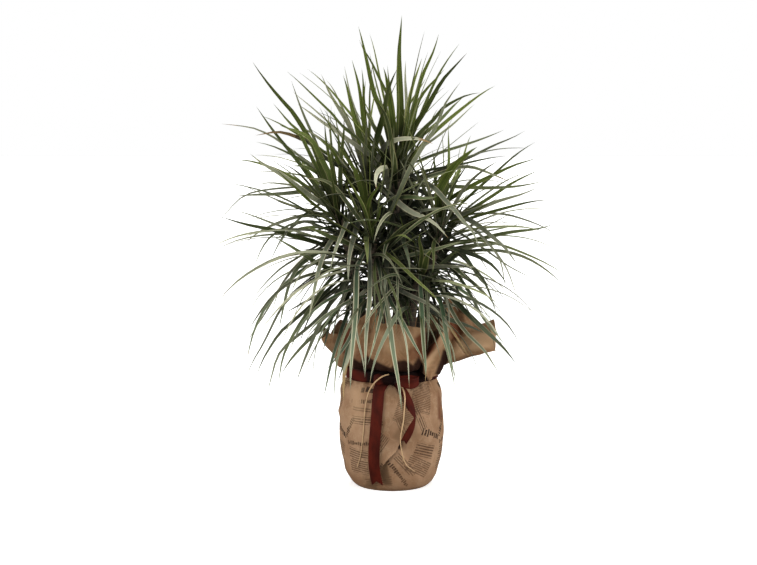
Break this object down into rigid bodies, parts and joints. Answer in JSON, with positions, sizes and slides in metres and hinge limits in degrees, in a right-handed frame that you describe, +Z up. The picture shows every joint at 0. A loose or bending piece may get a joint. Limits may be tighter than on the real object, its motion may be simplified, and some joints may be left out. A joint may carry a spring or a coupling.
{
  "type": "potted dracaena in gift wrap",
  "caption": "Bushy narrow-leaved dracaena in a nursery pot, gift-wrapped in kraft paper with an open collar and tied at the neck with a satin ribbon and raffia.",
  "frame": {"origin": "middle of the wrap's flat base, at the level of the surface that it stands on", "axes": "+Z up, -Y to the front where the bow and its tails hang, +X to the viewer's right"},
  "size_m": [0.6136, 0.6081, 0.834],
  "materials": {
    "leaf": "satin",
    "cane_bark": "matte",
    "potting_soil": "matte",
    "pot_plastic": "satin",
    "kraft_paper": "matte",
    "satin_ribbon": "satin",
    "raffia": "satin"
  },
  "bodies": {
    "root": {"cane_tall": "leaf", "cane_upper_left": "leaf", "cane_left": "leaf", "cane_right": "leaf", "cane_front": "leaf", "cane_low": "leaf", "cane_back": "leaf", "soil": "potting_soil", "nursery_pot": "pot_plastic", "paper_wrap": "kraft_paper", "ribbon_bow": "satin_ribbon", "raffia_left": "raffia", "raffia_right": "raffia"}
  },
  "joints": []
}
